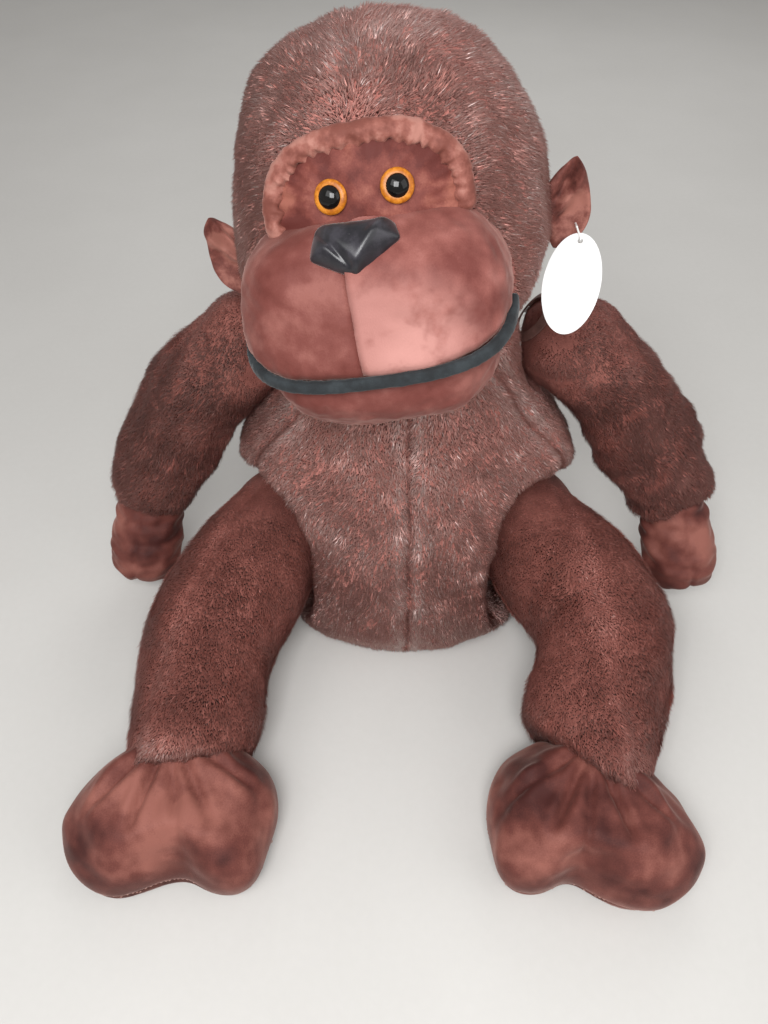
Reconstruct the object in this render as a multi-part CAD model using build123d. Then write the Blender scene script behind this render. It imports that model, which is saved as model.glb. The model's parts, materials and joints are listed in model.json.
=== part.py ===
from build123d import *
import math
import os

# Seated plush gorilla.  Millimetres, +Z up, the face looks towards -Y, +X is the gorilla's left.
# The origin is on the floor, under the middle of the whole toy's outline.

# ---------------------------------------------------------------- driving dimensions
CLOTH = 3.5              # thickness of the plush fabric with its backing
STUFFING_GAP = 0.5       # stuffing stays this far inside the fabric
SOCKET_GAP = 3.0         # room between a sewn ball end and the hollow that it turns in
SWEEP_GAP = 3.5          # room beside a thigh as it lifts

TORSO_AT = (-5.6, 130.3)             # where the torso's axis meets the floor
TORSO_SECTIONS = [                   # height, middle in Y, half width, half depth
    (0, -11, 128, 114),
    (22, -13, 154, 134),
    (62, -13, 170, 146),
    (112, -10, 174, 146),
    (172, -3, 161, 134),
    (228, 2, 132, 112),
    (280, 4, 107, 88),
    (318, 4, 92, 78),
]
BELLY_SEAM_Y = -48.0                 # the belly panels end here, the side panels begin
BACK_SEAM_Y = 52.0
SEAT_HEIGHT = 14.0                   # the seat panel turns up this far at its edge
LABEL_AT, LABEL_TURN = (112, 104, 62), 48.0
LABEL_THICK, LABEL_LENGTH, LABEL_WIDTH = 0.8, 26.0, 34.0

HEAD_AT = (-20.0, -21.0, 430.0)       # head centre, measured from the torso's axis
HEAD_TURN, HEAD_TIP, HEAD_ROLL = -7.0, -16.0, -12.0
SKULL_RADIUS, SKULL_HALF_HEIGHT = 121.0, 131.0
NECK_SOCKET = 137.0
NECK_RING_AXIS = (0, 0.12, -0.99)
NECK_RING_ANGLES = (24, 31)
BROW_MIDDLE, BROW_BASE = 4.0, 16.0     # X and Z of the middle of the face window and its brow
BROW_HALF_WIDTH, BROW_RISE, BROW_RADIUS = 60.0, 46.0, 8.5
MUZZLE_AT = (-3.0, -84.0, -54.0)
MUZZLE_HALF_WIDTH, MUZZLE_RADIUS = 94.0, 73.0
MOUTH_HEIGHT = -50.0                  # the mouth's level beside the middle of the muzzle
MOUTH_TILT = 22.0                    # and how steeply it falls towards the front
MOUTH_BAND = 8.0
NOSE_ANGLE = 46.0                    # how far round the muzzle the nose sits, above straight ahead
NOSE_RADIUS, NOSE_DEPTH = 27.0, 14.0
STUFFING_SPLIT_Y = -72.0             # the muzzle's filling lies in front of this, the head's behind
EYE_MIDDLE, EYE_SPREAD, EYE_HEIGHT = 5.0, 20.5, 29.7
EYE_RADIUS, EYE_DISC, EYE_LIFT = 10.5, 3.0, 0.8      # amber disc: radius, thickness, height over the skin
PUPIL_RADIUS, PUPIL_HEIGHT = 7.0, 3.4
POST_RADIUS, POST_LENGTH = 2.2, 14.0
WASHER_RADIUS, WASHER_THICK, WASHER_DEPTH = 9.0, 1.6, 6.0
EAR_AT = (123.0, 8.0, -24.0)
EAR_RADIUS, EAR_HALF_THICK = 30.0, 8.0
EAR_HOLE = (138.0, -36.0)            # X and Z of the hole for the tag's fastener, through the left ear
EAR_HOLE_RADIUS = 2.4

SHOULDER = (146.0, 12.0, 284.0)      # measured from the torso's axis, +X side
SHOULDER_RADIUS = 48.0
ARM_SPLAY = {"left": 6.0, "right": 3.2}    # outward turn of each arm as the toy sits
ARM_FORWARD = {"left": 5.0, "right": 0.0}  # and its forward turn
ARM_SECTIONS = [                     # point on the arm's middle line, radius
    ((146, 12, 284), 47),
    ((182, 12, 244), 48),
    ((214, 12, 196), 48),
    ((239, 6, 146), 47),
    ((255, -4, 98), 42),
]
WRIST_AXIS = Vector(17, -10, -48)    # the sleeve ends square to this
SLEEVE_SEAM_AT, SLEEVE_SEAM_NORMAL = (200, 6, 200), (0.85, 0, 0.52)
HAND_SEAM_AT, HAND_SEAM_NORMAL = (258, -32, 58), (1, 0.2, 0.1)
SHOULDER_RING_AXIS = (-0.80, 0, 0.60)
SHOULDER_RING_ANGLES = (20, 30)      # the sewn ring, in degrees from its axis
HAND_SECTIONS = [                    # point on the hand's middle line, half width, half thickness
    ((255, -4, 98), 30, 28),
    ((259, -14, 76), 33, 29),
    ((263, -30, 51), 36, 29),
    ((265, -45, 32), 33, 24),
    ((266, -54, 18), 22, 14),
]

HIP = (128.0, -20.0, 74.0)           # measured from the torso's axis, +X side
HIP_RADIUS = 62.0
LEG_YAW = {"left": -3.0, "right": 6.0}      # outward turn of each leg as the toy sits
LEG_BOW = {"left": 2.0, "right": 1.1}      # how far the knee bows outwards
LEG_LIFT = 35.0
THIGH_RADIUS, THIGH_LENGTH = 68.0, 190.0
THIGH_AXIS = (0.25, -0.968, 0.05)
LEG_SEAM_AT, LEG_SEAM_NORMAL = (20, -100, 0), (1, 0.28, 0)
HIP_RING_AXIS = (-0.35, 0.90, -0.26)
HIP_RING_ANGLES = (34, 42)
LEG_SECTIONS = [                     # point measured from the hip, radius
    ((0, 0, 0), 61),
    ((14, -50, 4), 65),
    ((27, -108, 7), 66),
    ((32, -170, 0), 63),
    ((27, -220, -9), 58),
    ((22, -252, -16), 54),
]
FOOT_HEIGHT = 84.0
SOLE_SEAM_HEIGHT = 10.0
FOOT_YAW = 10.0
FOOT_SCALE = 0.94
FOOT_AT = (24.0, -264.0)             # middle of the ankle on the sole, from the hip

TAG_LENGTH, TAG_WIDTH, TAG_THICK = 76.0, 42.0, 0.6
TAG_HOLE_AT = (123.0, -52.0, 418.0)  # the card's hole, measured from the torso's axis
TAG_HOLE_INSET, TAG_HOLE_RADIUS = 6.0, 2.0
TAG_NORMAL = Vector(-0.16, -0.65, 0.75)
TAG_HANGS = Vector(-0.20, -0.72, -0.67)
FASTENER_RADIUS, FASTENER_BAR = 0.7, 9.0

SEAM_TURN = 40.0                     # keeps a revolved shape's own edge away from the panel seams
TRIM_RADIUS, TRIM_DEPTH = 90.0, 40.0     # large enough to cut across any limb

SIDES = {"left": 1, "right": -1}
ON_BASE = (Align.CENTER, Align.CENTER, Align.MIN)
torso_place = Pos(TORSO_AT[0], TORSO_AT[1], 0)
head_place = (
    torso_place * Pos(*HEAD_AT) * Rot(0, 0, HEAD_TURN) * Rot(HEAD_TIP, 0, 0) * Rot(0, HEAD_ROLL, 0)
)
parts = {}


# ---------------------------------------------------------------- helpers
def capsule(radius, half_length, inset=0.0):
    """A ball drawn out along Z by a short straight part."""
    wide = radius - inset
    high = half_length - inset
    straight = high - wide
    bend = wide * math.sqrt(0.5)
    with BuildSketch(Plane.XZ) as profile:
        with BuildLine():
            ThreePointArc((0, high), (bend, straight + bend), (wide, straight))
            Line((wide, straight), (wide, -straight))
            ThreePointArc((wide, -straight), (bend, -straight - bend), (0, -high))
            Line((0, -high), (0, high))
        make_face()
    return Rot(0, 0, SEAM_TURN) * revolve(profile.sketch, axis=Axis.Z)


def tube(sections, inset=0.0):
    """A smooth limb through (point, radius) or (point, half width, half thickness) sections."""
    points = [Vector(*section[0]) for section in sections]
    faces = []
    for i, section in enumerate(sections):
        ahead = points[min(i + 1, len(points) - 1)] - points[max(i - 1, 0)]
        plane = Plane(origin=points[i], x_dir=(1, 0, 0), z_dir=ahead)
        wide = section[1] - inset
        thick = section[-1] - inset
        faces.append(plane * Ellipse(wide, thick) if wide != thick else plane * Circle(wide))
    return loft(faces)


def stack(sections, inset=0.0):
    """A pear-shaped body through level elliptical sections, with flat ends."""
    faces = []
    for i, (height, middle, wide, deep) in enumerate(sections):
        lift = inset if i == 0 else -inset if i == len(sections) - 1 else 0
        faces.append(Pos(0, middle, height + lift) * Ellipse(wide - inset, deep - inset))
    return loft(faces)


def dome(radius, height):
    """A low cap of a ball, standing on the plane with the given base radius."""
    ball = (radius**2 + height**2) / (2 * height)
    block = Box(3 * radius, 3 * radius, 2 * height, align=ON_BASE)
    return Pos(0, 0, height - ball) * Sphere(ball) & block


def keep_side(shape, plane, keep):
    return split(shape, bisect_by=plane, keep=keep)


def biggest(shape):
    """The largest solid of a cut, without the loose slivers."""
    return max(shape.solids(), key=lambda solid: solid.volume)


def across(height=0.0):
    return Plane.XY.offset(height)


def facing(middle_y):
    """An upright plane across the toy at middle_y, its normal towards +Y."""
    return Plane(origin=(0, middle_y, 0), z_dir=(0, 1, 0))


def mirrored(shape, side):
    return shape if side == "left" else mirror(shape, about=Plane.YZ)


def sewn_ring(centre, axis, ball_radius, angles):
    """A ring of thread that lies in the gap round a ball, between two angles from its axis."""
    inner, outer = ball_radius + 0.8, ball_radius + 2.2
    start, end = angles
    arc_ends = [
        (radius * math.sin(math.radians(angle)), radius * math.cos(math.radians(angle)))
        for radius, angle in [(inner, start), (inner, end), (outer, end), (outer, start)]
    ]
    middle = math.radians((start + end) / 2)
    inner_mid = (inner * math.sin(middle), inner * math.cos(middle))
    outer_mid = (outer * math.sin(middle), outer * math.cos(middle))
    with BuildSketch(Plane.XZ) as profile:
        with BuildLine():
            ThreePointArc(arc_ends[0], inner_mid, arc_ends[1])
            Line(arc_ends[1], arc_ends[2])
            ThreePointArc(arc_ends[2], outer_mid, arc_ends[3])
            Line(arc_ends[3], arc_ends[0])
        make_face()
    ring = revolve(profile.sketch, axis=Axis.Z)
    return Plane(origin=centre, z_dir=axis) * ring


# ---------------------------------------------------------------- legs and feet
def leg_turn(side):
    """Places a leg that was drawn from its own hip, on the +X side, for either side of the toy."""
    hip = Pos(SIDES[side] * HIP[0], HIP[1], HIP[2])
    return torso_place * hip * Rot(0, 0, SIDES[side] * LEG_YAW[side])


def foot_outline():
    """Outline of the sole around the ankle: a broad outer lobe and a big toe on the inside."""
    outline = Spline(
        (-10, 34),
        (46, 22),
        (88, -30),
        (98, -84),
        (64, -118),
        (14, -112),
        (-22, -88),
        (-44, -94),
        (-72, -88),
        (-82, -50),
        (-62, 10),
        periodic=True,
    )
    return make_face(outline)


def leg_sections(side):
    """The leg's sections with the knee bowed outwards for that side."""
    last = LEG_SECTIONS[-1][0][1]
    bowed = []
    for (x, y, z), radius in LEG_SECTIONS:
        bow = 1 + (LEG_BOW[side] - 1) * math.sin(math.pi * y / last)
        bowed.append(((x * bow, y, z), radius))
    return bowed


def foot_solid(inset=0.0):
    """The stuffed foot, with a rounded upper edge and a flat sole on the floor."""
    sole = foot_outline()
    levels = [
        (inset, -9 - inset),
        (16, -1 - inset),
        (38, 0 - inset),
        (60, -10 - inset),
        (FOOT_HEIGHT - inset, -30 - inset),
    ]
    faces = []
    for height, grow in levels:
        size = FOOT_SCALE + grow / 88
        faces.append(Pos(5 * (1 - size), -40 * (1 - size), height) * scale(sole, by=(size, size, 1)))
    return loft(faces)


foot_place = Pos(FOOT_AT[0], FOOT_AT[1], -HIP[2]) * Rot(0, 0, FOOT_YAW)


def make_leg(side):
    sections = leg_sections(side)
    leg_outer = tube(sections) + Sphere(HIP_RADIUS)
    leg_inner = tube(sections, CLOTH) + Sphere(HIP_RADIUS - CLOTH)
    foot_outer = foot_place * foot_solid()
    foot_inner = foot_place * foot_solid(CLOTH)
    ankle = Plane(
        origin=sections[-1][0],
        z_dir=Vector(*sections[-1][0]) - Vector(*sections[-2][0]),
    )
    leg_inner = leg_inner - extrude(ankle.offset(-CLOTH) * Circle(TRIM_RADIUS), TRIM_DEPTH)
    skin = leg_outer - leg_inner
    upright = Plane(origin=LEG_SEAM_AT, x_dir=(0, 1, 0), z_dir=LEG_SEAM_NORMAL)
    foot_skin = foot_outer - foot_inner - leg_outer
    sole_plane = across(SOLE_SEAM_HEIGHT - HIP[2])
    inset = CLOTH + STUFFING_GAP
    filling = tube(sections, inset) + Sphere(HIP_RADIUS - inset)
    filling = filling - extrude(ankle.offset(-inset) * Circle(TRIM_RADIUS), TRIM_DEPTH)
    foot_filling = foot_place * foot_solid(inset) - leg_outer
    pieces = {
        "leg_outer_panel": biggest(keep_side(skin, upright, Keep.TOP)),
        "leg_inner_panel": biggest(keep_side(skin, upright, Keep.BOTTOM)),
        "leg_stuffing": biggest(filling),
        "foot_upper": biggest(keep_side(foot_skin, sole_plane, Keep.TOP)),
        "foot_sole": biggest(keep_side(foot_skin, sole_plane, Keep.BOTTOM)),
        "foot_stuffing": biggest(foot_filling),
    }
    for name, solid in pieces.items():
        parts[f"{side}_{name}"] = leg_turn(side) * mirrored(solid, side)


def thigh_sweep(side):
    """Room that the thigh needs in the torso while it lifts from the floor."""
    room = Sphere(HIP_RADIUS + SOCKET_GAP)
    steps = 4
    for step in range(steps + 1):
        lift = LEG_LIFT * step / steps
        bar = Cylinder(THIGH_RADIUS + SWEEP_GAP, THIGH_LENGTH, align=ON_BASE)
        thigh = Plane(origin=(0, 0, 0), z_dir=THIGH_AXIS) * bar
        room += Rot(-lift, 0, 0) * thigh
    hip = Pos(SIDES[side] * HIP[0], HIP[1], HIP[2])
    return hip * Rot(0, 0, SIDES[side] * LEG_YAW[side]) * mirrored(room, side)


# ---------------------------------------------------------------- arms and hands
def arm_turn(side):
    """Places an arm that was drawn in the torso's frame, splayed about its shoulder."""
    shoulder = Pos(SIDES[side] * SHOULDER[0], SHOULDER[1], SHOULDER[2])
    turn = Rot(-ARM_FORWARD[side], 0, 0) * Rot(0, -SIDES[side] * ARM_SPLAY[side], 0)
    return torso_place * shoulder * turn * shoulder.inverse()


def make_arm(side):
    wrist = Plane(origin=ARM_SECTIONS[-1][0], z_dir=WRIST_AXIS)
    arm_outer = tube(ARM_SECTIONS) + Pos(*SHOULDER) * Sphere(SHOULDER_RADIUS)
    arm_inner = tube(ARM_SECTIONS, CLOTH) + Pos(*SHOULDER) * Sphere(SHOULDER_RADIUS - CLOTH)
    arm_inner = arm_inner - extrude(wrist.offset(-CLOTH) * Circle(TRIM_RADIUS), TRIM_DEPTH)
    hand_outer = tube(HAND_SECTIONS)
    hand_skin = hand_outer - tube(HAND_SECTIONS, CLOTH) - arm_outer
    skin = arm_outer - arm_inner
    side_seam = Plane(origin=SLEEVE_SEAM_AT, x_dir=(0, 1, 0), z_dir=SLEEVE_SEAM_NORMAL)
    palm_seam = Plane(origin=HAND_SEAM_AT, x_dir=(0, 1, 0), z_dir=HAND_SEAM_NORMAL)
    inset = CLOTH + STUFFING_GAP
    filling = tube(ARM_SECTIONS, inset) + Pos(*SHOULDER) * Sphere(SHOULDER_RADIUS - inset)
    filling = filling - extrude(wrist.offset(-inset) * Circle(TRIM_RADIUS), TRIM_DEPTH)
    pieces = {
        "sleeve_outer_panel": biggest(keep_side(skin, side_seam, Keep.TOP)),
        "sleeve_inner_panel": biggest(keep_side(skin, side_seam, Keep.BOTTOM)),
        "arm_stuffing": biggest(filling),
        "hand_back": biggest(keep_side(hand_skin, palm_seam, Keep.TOP)),
        "hand_palm": biggest(keep_side(hand_skin, palm_seam, Keep.BOTTOM)),
        "hand_stuffing": biggest(tube(HAND_SECTIONS, inset) - arm_outer),
    }
    for name, solid in pieces.items():
        parts[f"{side}_{name}"] = arm_turn(side) * mirrored(solid, side)
    ring = sewn_ring(SHOULDER, SHOULDER_RING_AXIS, SHOULDER_RADIUS, SHOULDER_RING_ANGLES)
    parts[f"{side}_shoulder_stitching"] = torso_place * mirrored(ring, side)


# ---------------------------------------------------------------- torso
def hip_ring(side):
    return mirrored(sewn_ring(HIP, HIP_RING_AXIS, HIP_RADIUS, HIP_RING_ANGLES), side)


def make_torso():
    outer = stack(TORSO_SECTIONS)
    inner = stack(TORSO_SECTIONS, CLOTH)
    filling = stack(TORSO_SECTIONS, CLOTH + STUFFING_GAP)
    rooms = [Pos(*HEAD_AT) * Sphere(NECK_SOCKET)]
    for side in SIDES:
        rooms.append(thigh_sweep(side))
        shoulder = Pos(SIDES[side] * SHOULDER[0], SHOULDER[1], SHOULDER[2])
        rooms.append(shoulder * Sphere(SHOULDER_RADIUS + SOCKET_GAP))
    skin = outer - inner
    for room in rooms:
        skin = skin - room
        filling = filling - room
    seat = keep_side(skin, across(SEAT_HEIGHT), Keep.BOTTOM)
    walls = keep_side(skin, across(SEAT_HEIGHT), Keep.TOP)
    belly = keep_side(walls, facing(BELLY_SEAM_Y), Keep.BOTTOM)
    rest = keep_side(walls, facing(BELLY_SEAM_Y), Keep.TOP)
    back = keep_side(rest, facing(BACK_SEAM_Y), Keep.TOP)
    flank = keep_side(rest, facing(BACK_SEAM_Y), Keep.BOTTOM)
    pieces = {"seat_panel": biggest(seat), "torso_stuffing": biggest(filling)}
    for side, keep in (("left", Keep.TOP), ("right", Keep.BOTTOM)):
        pieces[f"{side}_belly_panel"] = biggest(keep_side(belly, Plane.YZ, keep))
        pieces[f"{side}_side_panel"] = biggest(keep_side(flank, Plane.YZ, keep))
        pieces[f"{side}_back_panel"] = biggest(keep_side(back, Plane.YZ, keep))
    ribbon = Pos(*LABEL_AT) * Rot(0, 0, LABEL_TURN) * Box(LABEL_THICK, LABEL_LENGTH, LABEL_WIDTH)
    pieces["care_label"] = biggest(ribbon - outer)
    for name, solid in pieces.items():
        parts[name] = torso_place * solid
    parts["hip_stitching"] = torso_place * Compound([hip_ring(side) for side in SIDES])
    neck_ring = sewn_ring(HEAD_AT, NECK_RING_AXIS, NECK_SOCKET - 3.3, NECK_RING_ANGLES)
    parts["neck_stitching"] = torso_place * neck_ring


# ---------------------------------------------------------------- head
def skull_solid(inset=0.0):
    return capsule(SKULL_RADIUS, SKULL_HALF_HEIGHT, inset)


def above_straight(z):
    """Height over the skull's straight middle, signed, or nothing beside it."""
    straight = SKULL_HALF_HEIGHT - SKULL_RADIUS
    return math.copysign(max(abs(z) - straight, 0), z)


def skull_front(x, z):
    """Y of the front of the head at x, z."""
    return -math.sqrt(SKULL_RADIUS**2 - x**2 - above_straight(z) ** 2)


def muzzle_solid(inset=0.0):
    return Pos(*MUZZLE_AT) * Rot(0, 90, 0) * capsule(MUZZLE_RADIUS, MUZZLE_HALF_WIDTH, inset)


def make_head():
    skull = skull_solid()
    skin = skull - skull_solid(CLOTH)
    opening = Pos(BROW_MIDDLE, BROW_BASE) * Ellipse(BROW_HALF_WIDTH - 2, BROW_RISE - 2)
    window = extrude(Plane.XZ * opening, 130)
    pieces = {}
    face_panel = (skin & window) - muzzle_solid(-0.2)
    for side in SIDES:
        face_panel -= eye_hole(side)
        pieces.update(eye_pieces(side))
        pieces.update(ear_pieces(side))
    pieces["face_panel"] = biggest(face_panel)
    inset = CLOTH + STUFFING_GAP
    pieces["head_stuffing"] = Compound(
        [
            biggest(keep_side(skull_solid(inset), facing(STUFFING_SPLIT_Y), Keep.TOP)),
            biggest(keep_side(muzzle_solid(inset), facing(STUFFING_SPLIT_Y - STUFFING_GAP), Keep.BOTTOM)),
        ]
    )
    hood = skin - window - muzzle_solid(-0.2)
    front = keep_side(hood, facing(0), Keep.BOTTOM)
    back = keep_side(hood, facing(0), Keep.TOP)
    for side, keep in (("left", Keep.TOP), ("right", Keep.BOTTOM)):
        pieces[f"{side}_head_front_panel"] = biggest(keep_side(front, Plane.YZ, keep))
        pieces[f"{side}_head_back_panel"] = biggest(keep_side(back, Plane.YZ, keep))
    pieces.update(muzzle_pieces(skull))
    pieces["brow_band"] = brow_band(skull)
    for name, solid in pieces.items():
        parts[name] = head_place * solid
    parts["eye_washers"] = head_place * Compound([eye_washer(side) for side in SIDES])


def brow_band(skull):
    """The padded roll that arches over the eyes."""
    points = []
    for angle in (-12, 15, 45, 72, 90, 108, 135, 165, 192):
        x = BROW_MIDDLE + BROW_HALF_WIDTH * math.cos(math.radians(angle))
        z = BROW_BASE + BROW_RISE * math.sin(math.radians(angle))
        points.append((x, skull_front(x, z) - 1.5, z))
    path = Spline(*points)
    roll = sweep(Plane(origin=path @ 0, z_dir=path % 0) * Circle(BROW_RADIUS), path=path)
    return biggest(roll - skull - muzzle_solid(-0.3))


def muzzle_pieces(skull):
    cover = muzzle_solid() - muzzle_solid(CLOTH)
    band_place = Pos(0, MUZZLE_AT[1], MOUTH_HEIGHT) * Rot(MOUTH_TILT, 0, 0)
    low = Plane(band_place).offset(-MOUTH_BAND / 2)
    high = Plane(band_place).offset(MOUTH_BAND / 2)
    upper = keep_side(cover, high, Keep.TOP) - skull
    strip = keep_side(keep_side(muzzle_solid(-2.0) - muzzle_solid(CLOTH), high, Keep.BOTTOM), low, Keep.TOP)
    chin = keep_side(cover, low, Keep.BOTTOM) - skull
    middle = Plane.YZ.offset(MUZZLE_AT[0])
    out = (0, -math.cos(math.radians(NOSE_ANGLE)), math.sin(math.radians(NOSE_ANGLE)))
    nose_plane = Plane(origin=MUZZLE_AT, z_dir=out).offset(MUZZLE_RADIUS + 0.2)
    nose = nose_plane * dome(NOSE_RADIUS, NOSE_DEPTH)
    return {
        "left_muzzle_panel": biggest(keep_side(upper, middle, Keep.TOP)),
        "right_muzzle_panel": biggest(keep_side(upper, middle, Keep.BOTTOM)),
        "mouth_strip": biggest(strip - skull),
        "chin_panel": biggest(chin),
        "nose": biggest(nose - skull_solid(-0.3)),
    }


def eye_plane(side):
    """A plane on the head's surface under one eye, its normal straight out."""
    x = EYE_MIDDLE + SIDES[side] * EYE_SPREAD
    y = skull_front(x, EYE_HEIGHT)
    return Plane(origin=(x, y, EYE_HEIGHT), z_dir=(x, y, above_straight(EYE_HEIGHT)))


def eye_pieces(side):
    """A plastic safety eye: amber disc with its post, and a glossy black dome on it."""
    base = eye_plane(side)
    disc = base.offset(EYE_LIFT) * Cylinder(EYE_RADIUS, EYE_DISC, align=ON_BASE)
    post = base.offset(-POST_LENGTH) * Cylinder(POST_RADIUS, POST_LENGTH + EYE_LIFT, align=ON_BASE)
    pupil = base.offset(EYE_LIFT + EYE_DISC) * dome(PUPIL_RADIUS, PUPIL_HEIGHT)
    return {f"{side}_eye_disc": disc + post, f"{side}_eye_pupil": pupil}


def eye_hole(side):
    """The hole through the cloth for an eye's post."""
    bore = Cylinder(POST_RADIUS + 0.2, POST_LENGTH + 8, align=ON_BASE)
    return eye_plane(side).offset(-POST_LENGTH) * bore


def eye_washer(side):
    base = eye_plane(side)
    plate = base.offset(-WASHER_DEPTH - WASHER_THICK) * Cylinder(WASHER_RADIUS, WASHER_THICK, align=ON_BASE)
    return plate - base.offset(-POST_LENGTH) * Cylinder(POST_RADIUS + 0.2, POST_LENGTH, align=ON_BASE)


def ear_pieces(side):
    """Two velour faces of one ear, sewn into the hood; the left one has the fastener's hole."""
    outline = Pos(EAR_AT[0], EAR_AT[2]) * Circle(EAR_RADIUS)
    outline &= Pos(EAR_AT[0] + EAR_RADIUS, EAR_AT[2]) * Rectangle(2 * EAR_RADIUS, 3 * EAR_RADIUS)
    if side == "left":
        outline -= Pos(*EAR_HOLE) * Circle(EAR_HOLE_RADIUS)
    sheet = Plane.XZ.offset(-EAR_AT[1]) * outline
    front = extrude(sheet, EAR_HALF_THICK)
    rear = extrude(sheet, -EAR_HALF_THICK)
    return {f"{side}_ear_front": mirrored(front, side), f"{side}_ear_back": mirrored(rear, side)}


# ---------------------------------------------------------------- hang tag
def rod(start, end):
    """A straight run of the fastener, with a small bead at its end."""
    line = end - start
    run = Plane(origin=start, z_dir=line) * Cylinder(FASTENER_RADIUS, line.length, align=ON_BASE)
    return run + Pos(*end) * Sphere(1.25 * FASTENER_RADIUS)


def make_tag():
    behind = (head_place * Pos(EAR_HOLE[0], EAR_AT[1] + 11, EAR_HOLE[1])).position
    front = (head_place * Pos(EAR_HOLE[0], EAR_AT[1] - 11, EAR_HOLE[1])).position
    upright = (head_place * Pos(EAR_HOLE[0], EAR_AT[1] + 11, EAR_HOLE[1] + 1)).position - behind
    hole = (torso_place * Pos(*TAG_HOLE_AT)).position
    card_plane = Plane(origin=hole, x_dir=TAG_HANGS, z_dir=TAG_NORMAL)
    over = hole + card_plane.z_dir * 5
    under = hole - card_plane.z_dir * 3
    half_bar = upright * (FASTENER_BAR / 2)
    fastener = rod(behind, front) + rod(front, over) + rod(over, under)
    fastener += rod(behind - half_bar, behind + half_bar)
    fastener += rod(under - card_plane.x_dir * 3, under + card_plane.x_dir * 3)
    card = Pos(TAG_LENGTH / 2 - TAG_HOLE_INSET, 0) * Ellipse(TAG_LENGTH / 2, TAG_WIDTH / 2)
    card -= Circle(TAG_HOLE_RADIUS)
    parts["tag_fastener"] = biggest(fastener)
    parts["hang_tag"] = card_plane * Pos(0, 0, -TAG_THICK / 2) * extrude(card, TAG_THICK)


make_torso()
for side in SIDES:
    make_leg(side)
    make_arm(side)
make_head()
make_tag()

os.makedirs("parts", exist_ok=True)
for name, solid in parts.items():
    export_step(solid, f"parts/{name}.step")
    print(name, round(solid.volume / 1000, 1), "cm3", len(solid.solids()))
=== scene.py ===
import bpy
import json
import numpy as np
from math import ceil, cos, pi, radians, sin, sqrt, tan
from mathutils import Matrix, Vector


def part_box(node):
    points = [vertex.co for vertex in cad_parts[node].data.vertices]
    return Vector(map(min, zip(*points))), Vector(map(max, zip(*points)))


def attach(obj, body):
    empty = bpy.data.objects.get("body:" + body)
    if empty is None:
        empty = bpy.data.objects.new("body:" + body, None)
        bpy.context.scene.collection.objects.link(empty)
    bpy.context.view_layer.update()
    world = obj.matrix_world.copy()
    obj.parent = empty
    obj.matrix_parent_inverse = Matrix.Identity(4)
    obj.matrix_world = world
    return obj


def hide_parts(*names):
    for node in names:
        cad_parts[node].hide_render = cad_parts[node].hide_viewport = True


# Looks of the seated plush gorilla, in metres, in the frame of the CAD model.

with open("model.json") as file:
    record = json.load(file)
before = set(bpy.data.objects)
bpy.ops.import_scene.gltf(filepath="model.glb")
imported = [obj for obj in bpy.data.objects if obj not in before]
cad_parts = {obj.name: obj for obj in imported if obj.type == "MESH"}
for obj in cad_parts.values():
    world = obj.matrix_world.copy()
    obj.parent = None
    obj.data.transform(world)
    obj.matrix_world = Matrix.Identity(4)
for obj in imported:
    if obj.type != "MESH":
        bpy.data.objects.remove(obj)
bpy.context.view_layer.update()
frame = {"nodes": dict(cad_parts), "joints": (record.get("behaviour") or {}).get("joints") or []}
joints = {j["name"]: j for j in frame["joints"]}

MM = 0.001
TINY = 0.0005                # where a polar grid starts, so that its middle stays closed
SIDES = {"left": 1, "right": -1}

# ---- sizes that the looks need
PILE = 6.2 * MM              # length of the long pile
PILE_DENSITY = 680000        # strands to the square metre
PILE_RISE = 0.44             # how steeply the strands stand, 0 for lying flat
STRANDS_IN_PIECE = 48000     # a longer run of strands is split into several pieces
FINE_STRAND, BROAD_STRAND = 0.42 * MM, 0.74 * MM     # half widths at the root
SHORT_PILE = 0.55            # share of the pile's length left where a joint works
NEAR_SHOULDER = (52 * MM, 66 * MM)
NEAR_HIP = (66 * MM, 90 * MM)
BACKING_DEPTH = 2.2 * MM     # the woven backing lies this far inside the CAD surface
FLOOR_GAP = 0.4 * MM         # nothing reaches lower than this
BELLY_SEAM, BACK_SEAM = -48 * MM, 52 * MM    # the torso's side seams, from its axis
ARM_SEAM, ARM_SEAM_WAY = 40 * MM, np.array([0.85, 0, 0.52])
LEG_SEAM = 27 * MM
CUFF_OVERHANG, CUFF_DROOP = 26 * MM, 7 * MM    # how the leg's plush hangs over the foot
SOLE_EDGE, STITCH_STEP = 15 * MM, 4.6 * MM
HEAD_TURN, HEAD_TIP, HEAD_ROLL = -7.0, -16.0, -12.0
SKULL_RADIUS, SKULL_STRAIGHT = 121 * MM, 10 * MM
NECK_SOCKET = 137 * MM
BROW_MIDDLE, BROW_BASE = 4 * MM, 16 * MM
BROW_HALF_WIDTH, BROW_RISE = 61 * MM, 46 * MM
MUZZLE_AT = np.array([-3.0, -84.0, -54.0]) * MM
MUZZLE_RADIUS, MUZZLE_STRAIGHT = 73 * MM, 20 * MM
MUZZLE_WIDE, MUZZLE_DEEP, MUZZLE_HIGH = 92 * MM, 74 * MM, 73 * MM
MUZZLE_BOX = 3.0             # 2 is an ellipse, more is boxier
MUZZLE_SEAM = radians(-1.3)
MOUTH_LEVEL, MOUTH_SLOPE = 4 * MM, tan(radians(22))
MOUTH_HALF_HEIGHT, MOUTH_HALF_DEPTH = 4.3 * MM, 3.4 * MM
EYE_MIDDLE, EYE_SPREAD, EYE_HEIGHT = 5 * MM, 20.5 * MM, 29.7 * MM
EAR_AT = np.array([119, 8, -24]) * MM
SHOULDER_CUP, HIP_RADIUS = 53 * MM, 62 * MM


def joint_at(name):
    return np.array(joints[name]["pos_m"], float)


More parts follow.
